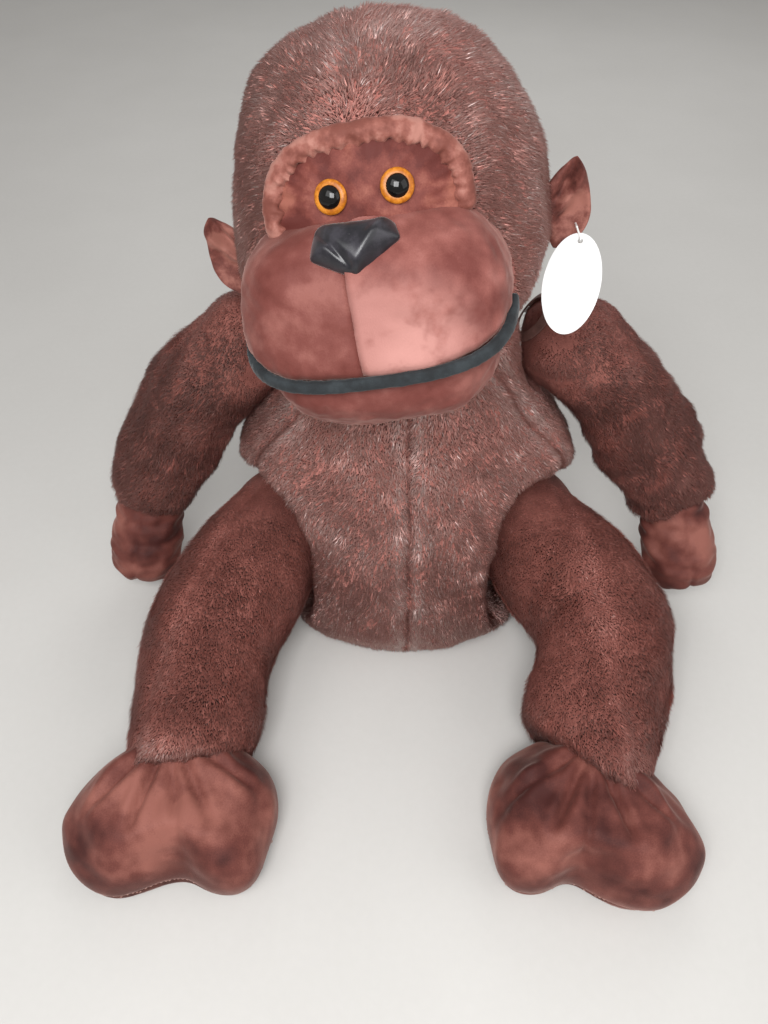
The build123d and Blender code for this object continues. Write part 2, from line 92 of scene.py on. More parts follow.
HEAD = joint_at("head_turn")
SHOULDER = {side: joint_at(f"{side}_arm_swing") for side in SIDES}
HIP = {side: joint_at(f"{side}_leg_lift") for side in SIDES}
AXIS_X = (SHOULDER["left"][0] + SHOULDER["right"][0]) / 2
AXIS_Y = SHOULDER["left"][1] - 12 * MM
HEAD_AXES = np.array(
    Matrix.Rotation(radians(HEAD_TURN), 3, "Z")
    @ Matrix.Rotation(radians(HEAD_TIP), 3, "X")
    @ Matrix.Rotation(radians(HEAD_ROLL), 3, "Y")
)


def from_head(points):
    return HEAD + np.asarray(points, float) @ HEAD_AXES.T


def to_head(points):
    return (np.asarray(points, float) - HEAD) @ HEAD_AXES


# ---- number helpers
def smooth(value, low, high):
    t = np.clip((value - low) / (high - low), 0, 1)
    return t * t * (3 - 2 * t)


def bump(distance, width):
    return np.exp(-((distance / width) ** 2))


def unit(vectors):
    vectors = np.asarray(vectors, float)
    length = np.linalg.norm(vectors, axis=-1, keepdims=True)
    return vectors / np.maximum(length, 1e-12)


def distance_to(points, centre):
    return np.linalg.norm(points - centre, axis=1)


def shortened(value, length):
    """A number brought nearer to zero by a length, and no further than zero."""
    return np.sign(value) * np.maximum(np.abs(value) - length, 0)


def signed_power(value, exponent):
    """A power of the size of a number that keeps its sign."""
    return np.sign(value) * np.abs(value) ** exponent


def waves(points, size, seed, count=14):
    """Smooth noise, about -1 to 1, with features about size metres across."""
    source = np.random.default_rng(seed)
    k = unit(source.normal(size=(count, 3)))
    k = k * (2 * pi / size) * source.uniform(0.6, 1.5, (count, 1))
    phase = source.uniform(0, 2 * pi, count)
    return np.sin(points @ k.T + phase).sum(-1) / sqrt(count)


# ---- mesh helpers
def make_object(name, verts, faces, materials, index=None):
    """A mesh object from vertex and face arrays, all faces with the same number of corners."""
    mesh = bpy.data.meshes.new(name)
    faces = np.asarray(faces, np.int32)
    number, corners = faces.shape
    mesh.vertices.add(len(verts))
    mesh.vertices.foreach_set("co", np.asarray(verts, np.float32).ravel())
    mesh.loops.add(number * corners)
    mesh.loops.foreach_set("vertex_index", faces.ravel())
    mesh.polygons.add(number)
    mesh.polygons.foreach_set("loop_start", np.arange(0, number * corners, corners, dtype=np.int32))
    for material in materials:
        mesh.materials.append(material)
    if index is not None:
        mesh.polygons.foreach_set("material_index", np.asarray(index, np.int32))
    mesh.polygons.foreach_set("use_smooth", np.full(number, True))
    mesh.update(calc_edges=True)
    obj = bpy.data.objects.new(name, mesh)
    bpy.context.scene.collection.objects.link(obj)
    return obj


def normals_of(verts, faces):
    """Vertex normals, averaged by area."""
    corners = [verts[faces[:, i]] for i in range(faces.shape[1])]
    if len(corners) == 4:
        face = np.cross(corners[2] - corners[0], corners[3] - corners[1])
    else:
        face = np.cross(corners[1] - corners[0], corners[2] - corners[0])
    total = np.zeros_like(verts)
    for i in range(faces.shape[1]):
        for c in range(3):
            total[:, c] += np.bincount(faces[:, i], face[:, c], len(verts))
    return unit(total)


def relax(verts, faces, rounds, amount=0.5):
    """Evens the surface out."""
    here = faces.ravel()
    there = np.roll(faces, -1, axis=1).ravel()
    i = np.concatenate([here, there])
    j = np.concatenate([there, here])
    count = np.bincount(i, minlength=len(verts))[:, None]
    for _ in range(rounds):
        mean = np.stack([np.bincount(i, verts[j, c], len(verts)) for c in range(3)], 1)
        verts = verts + amount * (mean / count - verts)
    return verts


def points_of(mesh):
    co = np.empty(len(mesh.vertices) * 3, np.float32)
    mesh.vertices.foreach_get("co", co)
    return co.reshape(-1, 3)


def skin_of(node_names, voxel, rounds=8):
    """One closed skin of even quads round several CAD nodes: its vertices, faces and normals."""
    verts, faces, base = [], [], 0
    for name in node_names:
        mesh = frame["nodes"][name].data
        mesh.calc_loop_triangles()
        tris = np.empty(len(mesh.loop_triangles) * 3, np.int32)
        mesh.loop_triangles.foreach_get("vertices", tris)
        verts.append(points_of(mesh))
        faces.append(tris.reshape(-1, 3) + base)
        base += len(mesh.vertices)
    rough = make_object("rough", np.concatenate(verts), np.concatenate(faces), [])
    change = rough.modifiers.new("even", "REMESH")
    change.mode = "VOXEL"
    change.voxel_size = voxel
    graph = bpy.context.evaluated_depsgraph_get()
    made = bpy.data.meshes.new_from_object(rough.evaluated_get(graph))
    verts = points_of(made).astype(float)
    corner = np.empty(len(made.loops), np.int32)
    made.loops.foreach_get("vertex_index", corner)
    old = rough.data
    bpy.data.objects.remove(rough)
    bpy.data.meshes.remove(old)
    bpy.data.meshes.remove(made)
    verts, faces = largest(verts, corner.reshape(-1, 4))
    verts = relax(verts, faces, rounds)
    return verts, faces, normals_of(verts, faces)


def largest(verts, faces):
    """Only the largest connected part of a mesh."""
    label = np.arange(len(verts))
    while True:
        low = label[faces].min(1)
        new = label.copy()
        for i in range(faces.shape[1]):
            np.minimum.at(new, faces[:, i], low)
        new = new[new]
        if (new == label).all():
            break
        label = new
    best = np.bincount(label).argmax()
    used = label == best
    number = np.cumsum(used) - 1
    kept = faces[used[faces[:, 0]]]
    return verts[used], number[kept]


def grid(down, across):
    return np.meshgrid(down, across, indexing="ij")


def grid_faces(rows, columns, wrap=False):
    """Quads of a grid of points; wrap joins the last column to the first."""
    i = np.arange(rows - 1)[:, None]
    j = np.arange(columns if wrap else columns - 1)[None, :]
    k = (j + 1) % columns
    this, after = i * columns, (i + 1) * columns
    quads = np.broadcast_arrays(this + j, this + k, after + k, after + j)
    return np.stack(quads, -1).reshape(-1, 4)


def grid_normals(points):
    faces = grid_faces(*points.shape[:2])
    return normals_of(points.reshape(-1, 3), faces).reshape(points.shape)


def shell(name, outer, inner, material, wrap=False):
    """A closed piece between two grids of points; wrap joins the last column to the first."""
    rows, columns = outer.shape[:2]
    number = rows * columns
    quads = grid_faces(rows, columns, wrap)
    cells = np.arange(number).reshape(rows, columns)
    if wrap:
        loops = [np.append(cells[-1], cells[-1, 0]), np.append(cells[0], cells[0, 0])[::-1]]
    else:
        loops = [np.concatenate([cells[0, ::-1], cells[1:, 0], cells[-1, 1:], cells[-2::-1, -1]])]
    sides = [np.stack([p[:-1], p[1:], p[1:] + number, p[:-1] + number], 1) for p in loops]
    faces = np.concatenate([quads, quads[:, ::-1] + number] + sides)
    verts = np.concatenate([outer.reshape(-1, 3), inner.reshape(-1, 3)])
    return make_object(name, verts, faces, [material])


def tube(name, rings, material):
    """A closed tube through rings of points, with a flat cap at each end."""
    rows, columns = rings.shape[:2]
    total = rows * columns
    quads = grid_faces(rows, columns, wrap=True)
    k = np.arange(columns)
    after = (k + 1) % columns
    start = np.stack([np.full(columns, total), after, k], 1)
    end = np.stack([np.full(columns, total + 1), total - columns + k, total - columns + after], 1)
    tris = np.concatenate([quads[:, [0, 1, 2]], quads[:, [0, 2, 3]], start, end])
    verts = np.concatenate([rings.reshape(-1, 3), [rings[0].mean(0), rings[-1].mean(0)]])
    return make_object(name, verts, tris, [material])


def centre_of(*names):
    low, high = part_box(names[0])
    for name in names[1:]:
        a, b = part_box(name)
        low = Vector(map(min, low, a))
        high = Vector(map(max, high, b))
    return np.array((low + high) / 2)


def declare(obj, body, slot, *nodes, fill=None):
    """Hangs a piece on the body it rides on and hides the CAD nodes it replaces; slot and fill are
    not used.
    """
    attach(obj, body)
    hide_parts(*nodes)


def head_shell(name, outer, inner, material, slot, *nodes, wrap=False, fill=None):
    """A closed piece of the head between two grids of points in head coordinates."""
    obj = shell(name, from_head(outer), from_head(inner), material, wrap)
    declare(obj, "head", slot, *nodes, fill=fill)


# ---- materials
def principled(name, colour, roughness=0.7, sheen=0, tint=(1, 1, 1), **sockets):
    material = bpy.data.materials.new(name)
    material.use_nodes = True
    shader = shader_of(material)
    shader.inputs["Base Color"].default_value = (*colour, 1)
    shader.inputs["Roughness"].default_value = roughness
    shader.inputs["Sheen Weight"].default_value = sheen
    shader.inputs["Sheen Roughness"].default_value = 0.35
    shader.inputs["Sheen Tint"].default_value = (*tint, 1)
    for key, value in sockets.items():
        shader.inputs[key.replace("_", " ")].default_value = value
    return material


def add_node(material, kind, **values):
    node = material.node_tree.nodes.new(kind)
    for key, value in values.items():
        socket = key.replace("_", " ")
        if socket in node.inputs:
            node.inputs[socket].default_value = value
        else:
            setattr(node, key, value)
    return node


def join(start, out, end, into):
    start.id_data.links.new(start.outputs[out], end.inputs[into])


def shader_of(material):
    return material.node_tree.nodes["Principled BSDF"]


def add_bump(material, source, out, strength, distance):
    node = add_node(material, "ShaderNodeBump", Strength=strength, Distance=distance)
    join(source, out, node, "Height")
    join(node, "Normal", shader_of(material), "Normal")


def noise(material, scale, detail=2, roughness=0.5):
    place = add_node(material, "ShaderNodeTexCoord")
    node = add_node(material, "ShaderNodeTexNoise", Scale=scale, Detail=detail, Roughness=roughness)
    join(place, "Object", node, "Vector")
    return node


def patterned(name, spread, tones, scale, fine_scale, raised, depth, mix=0.25, **rest):
    """A material whose tones drift in broad and in fine patches, with a fine raised grain."""
    material = principled(name, tones[len(tones) // 2], **rest)
    broad = noise(material, scale, 3, 0.6)
    fine = noise(material, fine_scale, 2, 0.6)
    blend = add_node(material, "ShaderNodeMix", Factor=mix)
    join(broad, "Fac", blend, "A")
    join(fine, "Fac", blend, "B")
    colours = add_node(material, "ShaderNodeValToRGB")
    stops = colours.color_ramp.elements
    while len(stops) < len(tones):
        stops.new(0.5)
    for stop, place, tone in zip(stops, np.linspace(0.5 - spread, 0.5 + spread, len(tones)), tones):
        stop.position = place
        stop.color = (*tone, 1)
    join(blend, "Result", colours, "Fac")
    join(colours, "Color", shader_of(material), "Base Color")
    add_bump(material, fine, "Fac", raised, depth)
    return material


def painted_nap_shading(material, centre, reach, colour):
    """A patch of painted shading round one point of the cloth, in the given colour, where the pile
    is brushed the other way.
    """
    shader = shader_of(material)
    below = shader.inputs["Base Color"].links[0].from_socket
    place = add_node(material, "ShaderNodeTexCoord")
    gap = add_node(material, "ShaderNodeVectorMath", operation="DISTANCE")
    gap.inputs[1].default_value = centre
    join(place, "Object", gap, 0)
    fade = add_node(material, "ShaderNodeMapRange", From_Min=reach, From_Max=0.35 * reach)
    join(gap, "Value", fade, "Value")
    streaks = add_node(material, "ShaderNodeMapRange", From_Min=0.3, From_Max=0.5)
    join(noise(material, 42, 3, 0.6), "Fac", streaks, "Value")
    amount = add_node(material, "ShaderNodeMath", operation="MULTIPLY")
    join(fade, "Result", amount, 0)
    join(streaks, "Result", amount, 1)
    mixed = add_node(material, "ShaderNodeMix", data_type="RGBA")
    mixed.inputs[7].default_value = (*colour, 1)
    join(amount, "Value", mixed, 0)
    material.node_tree.links.new(below, mixed.inputs[6])
    join(mixed, 2, shader, "Base Color")


# Tones of the pile from dark to light; the lightest ones serve mostly for painted sheen and painted
# glints.
FUR_TONES = [
    (0.17, 0.046, 0.034),
    (0.235, 0.07, 0.053),
    (0.31, 0.102, 0.08),
    (0.4, 0.15, 0.122),
    (0.49, 0.208, 0.174),
    (0.59, 0.285, 0.246),
    (0.71, 0.405, 0.362),
    (0.88, 0.64, 0.6),
]


def fur_materials():
    made = []
    for i, colour in enumerate(FUR_TONES):
        tint = (1, 0.8, 0.74)
        material = principled(f"pile_{i}", colour, 0.6, 0.08, tint, Specular_IOR_Level=0.3)
        strands = noise(material, 900, 2, 0.6)
        gloss = add_node(material, "ShaderNodeMapRange", To_Min=0.45, To_Max=0.75)
        join(strands, "Fac", gloss, "Value")
        join(gloss, "Result", shader_of(material), "Roughness")
        add_bump(material, strands, "Fac", 0.15, 0.0004)
        made.append(material)
    return made


def velvet(name, spread, scale, *tones):
    """Short-pile velour in a dark, a middle and a light tone."""
    return patterned(
        name, spread, tones, scale, 900, 0.35, 0.0006, 0.12,
        roughness=0.7, sheen=0.22, tint=(1, 0.66, 0.58), Specular_IOR_Level=0.25,
    )


def woven(name, *tones):
    """The backing that shows between the strands of the pile."""
    return patterned(name, 0.12, tones, 28, 700, 0.8, 0.0012, roughness=0.85)


pile = fur_materials()
backing = woven(
    "plush_backing", (0.25, 0.082, 0.064), (0.33, 0.118, 0.096), (0.4, 0.16, 0.134)
)
# Painted shade: the same woven backing drawn darker, for the arms and legs.
backing_painted_shade = woven(
    "plush_backing_painted_shade", (0.13, 0.036, 0.027), (0.18, 0.054, 0.041), (0.24, 0.08, 0.062)
)
velour = velvet(
    "velour", 0.12, 16, (0.05, 0.011, 0.009), (0.125, 0.035, 0.027), (0.25, 0.09, 0.069)
)
# Painted shade on the feet, dark patches where the nap lies the other way: which foot, place from
# its middle and reach in mm.
for foot, offset, reach in (
    ("right", (34, -40, 24), 52), ("right", (-30, -62, 12), 40),
    ("left", (-42, -40, 26), 40), ("left", (6, -22, 52), 38),
):
    place = centre_of(f"{foot}_foot_upper") * [1, 1, 0] + np.array(offset) * MM
    painted_nap_shading(velour, place, reach * MM, (0.07, 0.017, 0.013))
velour_face = velvet(
    "velour_face", 0.1, 35, (0.09, 0.019, 0.015), (0.15, 0.038, 0.029), (0.25, 0.084, 0.06)
)
velour_sole = velvet(
    "velour_sole", 0.1, 22, (0.05, 0.013, 0.01), (0.09, 0.026, 0.02), (0.15, 0.05, 0.04)
)
velour_brow = velvet(
    "velour_brow", 0.1, 60, (0.15, 0.045, 0.033), (0.23, 0.08, 0.061), (0.33, 0.145, 0.115)
)
velour_ear = velvet(
    "velour_ear", 0.1, 45, (0.07, 0.018, 0.014), (0.15, 0.045, 0.035), (0.28, 0.11, 0.085)
)
velour_muzzle = velvet(
    "velour_muzzle", 0.14, 30, (0.115, 0.027, 0.021), (0.15, 0.042, 0.034), (0.22, 0.078, 0.064)
)
# Painted sheen: the same muzzle velour drawn lighter, for the left half, where its nap lies the
# other way.
velour_muzzle_painted_sheen = velvet(
    "velour_muzzle_painted_sheen", 0.14, 24, (0.13, 0.033, 0.027), (0.21, 0.068, 0.056), (0.31, 0.122, 0.104)
)
# Painted sheen on the muzzle, light patches of nap, in head coordinates.
for place, reach, colour in (
    ((18, -140, -62), 58, (0.42, 0.2, 0.175)),
    ((-4, -150, -40), 30, (0.36, 0.16, 0.14)),
):
    painted_nap_shading(velour_muzzle_painted_sheen, from_head(np.array(place) * MM), reach * MM, colour)
felt = patterned(
    "mouth_felt", 0.1, [(0.008, 0.01, 0.012), (0.013, 0.017, 0.02), (0.022, 0.028, 0.032)],
    60, 1400, 0.5, 0.0004, roughness=0.9, sheen=0.15,
)
satin = patterned(
    "nose_satin", 0.1, [(0.009, 0.009, 0.012), (0.015, 0.014, 0.018), (0.028, 0.026, 0.033)],
    90, 1500, 0.12, 0.0003, roughness=0.33, sheen=0.2, Anisotropic=0.5,
)
thread = patterned(
    "seam_thread", 0.1, [(0.3, 0.15, 0.12), (0.48, 0.29, 0.24)],
    200, 3000, 0.4, 0.0003, roughness=0.6,
)
amber = patterned(
    "eye_amber", 0.1, [(0.3, 0.085, 0.006), (0.42, 0.135, 0.01), (0.54, 0.2, 0.02)],
    160, 700, 0.03, 0.0002, roughness=0.35, Specular_IOR_Level=0.3,
)
black = patterned(
    "eye_black", 0.1, [(0.003, 0.003, 0.003), (0.006, 0.005, 0.005)],
    300, 900, 0.01, 0.0001, roughness=0.07, Specular_IOR_Level=0.35,
)
plastic = patterned(
    "clear_plastic", 0.2, [(0.74, 0.74, 0.72), (0.84, 0.84, 0.82)],
    120, 1200, 0.1, 0.0002, roughness=0.35,
)
card = patterned(
    "tag_card", 0.1, [(0.66, 0.66, 0.66), (0.74, 0.74, 0.74)],
    70, 1600, 0.08, 0.0002, roughness=0.42,
)
ribbon = patterned(
    "label_ribbon", 0.2, [(0.72, 0.71, 0.68), (0.86, 0.85, 0.82)],
    90, 2200, 0.3, 0.0003, roughness=0.55, sheen=0.2,
)
sewing = patterned(
    "hidden_thread", 0.2, [(0.07, 0.028, 0.022), (0.16, 0.075, 0.06)],
    200, 2500, 0.5, 0.0004, roughness=0.7,
)


# ---- long pile
def scatter(verts, faces, density, seed, keep):
    """Random roots on a skin, density to the square metre, where keep(centres, normals) allows."""
    source = np.random.default_rng(seed)
    normals = normals_of(verts, faces)
    tris = np.concatenate([faces[:, [0, 1, 2]], faces[:, [0, 2, 3]]])
    a, b, c = (verts[tris[:, i]] for i in range(3))
    area = np.linalg.norm(np.cross(b - a, c - a), axis=1) / 2
    centre = (a + b + c) / 3
    area = area * keep(centre, unit(np.cross(b - a, c - a)))
    number = int(area.sum() * density)
    pick = source.choice(len(tris), number, p=area / area.sum())
    u, v = source.random((2, number))
    over = u + v > 1
    u[over], v[over] = 1 - u[over], 1 - v[over]
    share = np.stack([1 - u - v, u, v], 1)
    roots = np.einsum("ij,ijk->ik", share, verts[tris[pick]])
    out = unit(np.einsum("ij,ijk->ik", share, normals[tris[pick]]))
    return roots, out, source


def grow(part, roots, out, source, comb, tone, body, length=PILE):
    """Strands of pile on the roots, combed one way, as closed spikes in place of a part's panel."""
    number = len(roots)
    flow = comb(roots)
    flow = flow + 0.26 * np.stack([waves(roots, 0.06, s, 10) for s in (11, 12, 13)], 1)
    flow = flow + 0.12 * np.stack([waves(roots, 0.014, s, 10) for s in (14, 15, 16)], 1)
    flow = flow + source.normal(0, 0.16, (number, 3))
    flow = unit(flow - out * (flow * out).sum(1)[:, None])
    rise = PILE_RISE + 0.16 * waves(roots, 0.03, 17, 10) + source.normal(0, 0.12, number)
    rise = np.clip(rise, 0.12, 1.1)[:, None]
    along = unit(flow + out * rise)
    size = length * (1 + 0.16 * waves(roots, 0.02, 18, 10) + source.normal(0, 0.14, number))
    size = np.clip(size, 0.45 * length, 1.4 * length)
    for side in SIDES:
        for centre, near in ((SHOULDER[side], NEAR_SHOULDER), (HIP[side], NEAR_HIP)):
            free = smooth(distance_to(roots, centre), *near)
            size = size * (SHORT_PILE + (1 - SHORT_PILE) * free)
    size = size[:, None]
    broad = source.random(number) < 0.4
    width = np.where(broad, BROAD_STRAND, FINE_STRAND) * source.uniform(0.75, 1.25, number)
    width = width[:, None]
    side = unit(np.cross(out, flow))
    base = roots - out * 0.6 * MM
    tip = roots + along * size + flow * size * 0.12
    corners = [base + side * width, base - side * width, base + along * width * 1.2, tip]
    corners = np.stack(corners, 1)
    corners[..., 2] = np.maximum(corners[..., 2], FLOOR_GAP)
    order = np.array([[0, 1, 2], [1, 0, 3], [2, 1, 3], [0, 2, 3]])
    shade = tone(roots, out)
    # Painted glints: a few strands, more where the tone is already light, are drawn in lighter
    # tones.
    painted_glints = source.random(number) < 0.012 + 0.45 * np.clip(shade - 0.56, 0, 0.4)
    shade = shade + source.normal(0, 0.05, number) + 0.34 * painted_glints
    index = np.clip((shade * len(FUR_TONES)).astype(int), 0, len(FUR_TONES) - 1)
    pieces = max(1, ceil(number / STRANDS_IN_PIECE))
    for k in range(pieces):
        use = slice(k * number // pieces, (k + 1) * number // pieces)
        count = len(index[use])
        faces = (np.arange(count)[:, None, None] * 4 + order).reshape(-1, 3)
        name = f"{part}_pile" if pieces == 1 else f"{part}_pile_{k + 1}"
        verts = corners[use].reshape(-1, 3)
        obj = make_object(name, verts, faces, pile, np.repeat(index[use], 4))
        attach(obj, body)
        if k == 0:
            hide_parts(f"{part}_panel")


def seam_dip(distance, width=5.5 * MM, depth=3.6 * MM):
    return depth * bump(distance, width)


# ---- torso
def torso_seams(points):
    """Distance to the nearest seam of the torso."""
    y = points[:, 1] - AXIS_Y
    x = points[:, 0] - AXIS_X
    middle = np.where((y < BELLY_SEAM) | (y > BACK_SEAM), np.abs(x), 1.0)
    return np.minimum(np.minimum(np.abs(y - BELLY_SEAM), np.abs(y - BACK_SEAM)), middle)


def make_torso():
    panels = [f"{side}_{panel}_panel" for side in SIDES for panel in ("belly", "side", "back")]
    verts, faces, out = skin_of(["seat_panel"] + panels + ["torso_stuffing"], 4.5 * MM)
    high = verts[:, 2]
    on_wall = smooth(high, 8 * MM, 20 * MM)
    in_cup = 1 - smooth(distance_to(verts, HEAD), NECK_SOCKET, NECK_SOCKET + 4 * MM)
    swell = 1.6 * MM * waves(verts, 0.11, 21) * on_wall
    inset = BACKING_DEPTH * on_wall * (1 - in_cup)
    dip = seam_dip(torso_seams(verts)) * on_wall * (1 - in_cup)
    flank = smooth(np.abs(verts[:, 0] - AXIS_X), 95 * MM, 130 * MM)
    flank = 7 * MM * flank * bump(high - 195 * MM, 45 * MM) * on_wall
    verts = verts + out * (swell - inset - dip + flank)[:, None]
    near_hip = np.zeros(len(verts))
    for side in SIDES:
        away = np.linalg.norm((verts - HIP[side]) * [1, 0.45, 1], axis=1)
        near = smooth(away, 105 * MM, 88 * MM) * smooth(high, 60 * MM, 90 * MM)
        near_hip = np.maximum(near_hip, near)
    change = relax(verts, faces, 60) - verts
    change = change - out * np.maximum((change * out).sum(1), 0)[:, None]
    verts = verts + near_hip[:, None] * change
    verts[:, 2] = np.maximum(verts[:, 2], 0.6 * MM)
    skin = make_object("torso_stuffed_body", verts, faces, [backing])
    declare(skin, "torso", "plush", "torso_stuffing", "seat_panel", fill=0.85)

    def keep(centre, normal):
        free = distance_to(centre, HEAD) > NECK_SOCKET + 1.5 * MM
        for side in SIDES:
            free &= distance_to(centre, SHOULDER[side]) > SHOULDER_CUP
            free &= distance_to(centre, HIP[side]) > HIP_RADIUS + 6 * MM
        return np.where(free, 1.0, 0.12) * (centre[:, 2] > 4 * MM)

    def comb(points):
        x = points[:, 0] - AXIS_X
        return np.stack([0.5 * x / 0.15, 0 * x, 0 * x - 1.0], 1)

    def tone(points, normal):
        seam = torso_seams(points)
        # Painted sheen in bands beside each seam, and painted shade in a dark line along the seam's
        # groove.
        sheen = 0.15 * bump(seam - 8 * MM, 7 * MM) - 0.30 * bump(seam, 2.6 * MM)
        # Painted sheen: the pile is drawn lighter towards the bottom.
        low = 0.12 * (1 - smooth(points[:, 2], 20 * MM, 90 * MM))
        drift = 0.05 * waves(points, 0.075, 22) + 0.03 * waves(points, 0.012, 23)
        return 0.64 + drift + sheen + low

    roots, normal, source = scatter(verts, faces, PILE_DENSITY, 31, keep)
    x, y = roots[:, 0] - AXIS_X, roots[:, 1] - AXIS_Y
    belly, back = y < BELLY_SEAM, y > BACK_SEAM
    for side, sign in SIDES.items():
        for panel, zone in (("belly", belly), ("side", ~belly & ~back), ("back", back)):
            use = zone & (x * sign >= 0)
            grow(f"{side}_{panel}", roots[use], normal[use], source, comb, tone, "torso")


# ---- arms
def make_arm(side):
    sign = SIDES[side]
    sleeve = [f"{side}_sleeve_outer_panel", f"{side}_sleeve_inner_panel"]
    verts, faces, out = skin_of(sleeve + [f"{side}_arm_stuffing"], 4 * MM)
    shoulder = SHOULDER[side]
    wrist = centre_of(f"{side}_hand_back", f"{side}_hand_palm") + [0, 0, 42 * MM]
    down = unit(wrist - shoulder)
    down_arm = (verts - shoulder) @ down
    inner_swell = 9 * MM * smooth(-out[:, 0] * sign, 0.1, 0.9) * bump(down_arm - 125 * MM, 42 * MM)
    loose = 2.4 * MM * waves(verts, 0.07, 41 + sign) + 1.0 * MM * waves(verts, 0.03, 47 + sign)
    verts = verts + out * (inner_swell - BACKING_DEPTH + loose)[:, None]
    skin = make_object(f"{side}_arm_stuffed", verts, faces, [backing_painted_shade])
    declare(skin, f"{side}_arm", "plush", f"{side}_arm_stuffing", fill=0.8)
    cuff = (verts @ down).max()
    seam_way = ARM_SEAM_WAY * [sign, 1, 1]

    def keep(centre, normal):
        hidden = (distance_to(centre, shoulder) < 47 * MM) & (normal[:, 0] * sign < -0.2)
        end = centre @ down > cuff - 2 * MM
        return np.where(hidden | (end & (normal @ down > 0.8)), 0.1, 1.0)

    def comb(points):
        return np.broadcast_to(down, points.shape) + [0.25 * sign, -0.1, 0]

    def tone(points, normal):
        seam = np.abs((points - shoulder) @ seam_way - ARM_SEAM)
        # Painted shade: the arm's pile is drawn in much darker tones than the torso's, with painted
        # sheen along the seam and towards the cuff.
        return (
            0.20 + 0.07 * waves(points, 0.06, 42 + sign) + 0.04 * waves(points, 0.012, 44)
            + 0.14 * bump(seam, 9 * MM) + 0.12 * smooth(points @ down, cuff - 35 * MM, cuff)
        )

    roots, normal, source = scatter(verts, faces, PILE_DENSITY, 45 + sign, keep)
    outer = (roots - shoulder) @ seam_way > ARM_SEAM
    for part, use in ((f"{side}_sleeve_outer", outer), (f"{side}_sleeve_inner", ~outer)):
        grow(part, roots[use], normal[use], source, comb, tone, f"{side}_arm", PILE * 1.1)


def make_hand(side):
    sign = SIDES[side]
    names = [f"{side}_hand_back", f"{side}_hand_palm", f"{side}_hand_stuffing"]
    verts, faces, out = skin_of(names, 2.5 * MM, 10)
    seam = np.abs((verts - centre_of(*names)) @ unit([sign, 0.2, 0.1]))
    fold = 1.5 * MM * waves(verts * [1, 1, 2.2], 0.03, 51 + sign)
    verts = verts + out * (1.0 * MM + fold - 2.2 * MM * bump(seam, 2.6 * MM))[:, None]
    obj = make_object(f"{side}_hand_mitt", verts, faces, [velour])
    declare(obj, f"{side}_arm", "velour", *names, fill=0.75)


# ---- legs and feet
def make_leg(side):
    sign = SIDES[side]
    panels = [f"{side}_leg_outer_panel", f"{side}_leg_inner_panel"]
    verts, faces, out = skin_of(panels + [f"{side}_leg_stuffing"], 4 * MM)
    hip = HIP[side]
    foot = centre_of(f"{side}_foot_upper")
    ahead = unit((foot - hip) * [1, 1, 0])
    outward = np.cross(ahead, [0, 0, 1]) * sign
    outward = outward if outward[0] * sign > 0 else -outward

    def seam_distance(points):
        """The outer seam runs along the top of the thigh, towards its outside."""
        q = points - hip
        return np.abs(q @ outward - LEG_SEAM) + np.where(q[:, 2] > 0, 0, 1.0)

    beyond = smooth(distance_to(verts, hip), 55 * MM, 70 * MM)
    dip = seam_dip(seam_distance(verts), 5 * MM, 3 * MM) * beyond
    swell = 1.8 * MM * waves(verts, 0.09, 61 + sign)
    verts = verts + out * (swell - BACKING_DEPTH - dip)[:, None]
    reach = (verts - hip) @ ahead
    end = reach.max()
    cuff = smooth(reach, end - 70 * MM, end) * smooth(out @ ahead, -0.2, 0.6)
    verts = verts + ahead * (CUFF_OVERHANG * cuff)[:, None]
    verts[:, 2] -= CUFF_DROOP * cuff * smooth(verts[:, 2], 50 * MM, 95 * MM)
    lower = smooth(reach, 90 * MM, end - 20 * MM)
    verts = verts + outward * (8 * MM * lower)[:, None]
    verts[:, 2] = np.maximum(verts[:, 2], 1.0 * MM)
    skin = make_object(f"{side}_leg_stuffed", verts, faces, [backing_painted_shade])
    declare(skin, f"{side}_leg", "plush", f"{side}_leg_stuffing", fill=0.85)
    front = (verts @ ahead).max()

    def keep(centre, normal):
        ball = (distance_to(centre, hip) < HIP_RADIUS) & (centre @ ahead < hip @ ahead)
        under = (centre[:, 2] < 6 * MM) & (normal[:, 2] < -0.8)
        return np.where(ball, 0.08, np.where(under, 0.25, 1.0))

    def comb(points):
        q = points - hip
        side_fall = (q @ outward)[:, None] * outward / 0.06
        return ahead + 0.35 * side_fall + [0, 0, -0.25]

    def tone(points, normal):
        seam = seam_distance(points)
        # Painted shade: the leg's pile is drawn in much darker tones than the torso's, with painted
        # sheen beside the seam and towards the front end.
        edge = smooth(points @ ahead, front - 40 * MM, front - 10 * MM)
        return (
            0.13 + 0.08 * waves(points, 0.07, 62 + sign) + 0.04 * waves(points, 0.013, 64)
            + 0.20 * bump(seam - 4 * MM, 7 * MM) + 0.36 * edge
        )

    roots, normal, source = scatter(verts, faces, PILE_DENSITY, 65 + sign, keep)
    outer = (roots - hip) @ unit([sign, 0, 0.28]) > 22 * MM
    for part, use in ((f"{side}_leg_outer", outer), (f"{side}_leg_inner", ~outer)):
        grow(part, roots[use], normal[use], source, comb, tone, f"{side}_leg")


def outline_at(verts, height, count):
    """The outline of a closed skin near one height, as evenly spaced points round its middle."""
    near = verts[np.abs(verts[:, 2] - height) < 3 * MM]
    middle = near.mean(0)
    angle = np.arctan2(near[:, 1] - middle[1], near[:, 0] - middle[0])
    reach = np.linalg.norm(near[:, :2] - middle[:2], axis=1)
    order = np.argsort(angle)
    angle, reach = angle[order], reach[order]
    want = np.linspace(-pi, pi, count, endpoint=False)
    reach = np.interp(want, angle, reach, period=2 * pi)
    x = middle[0] + reach * np.cos(want)
    y = middle[1] + reach * np.sin(want)
    return np.stack([x, y, np.full(count, height)], 1)


# Pinches where the foot is gathered into the cuff: degrees from ahead, and depth in mm.
FOOT_PINCHES = [(-58, 2.4), (-30, 3.2), (-12, 2.0), (14, 3.6), (40, 2.6)]


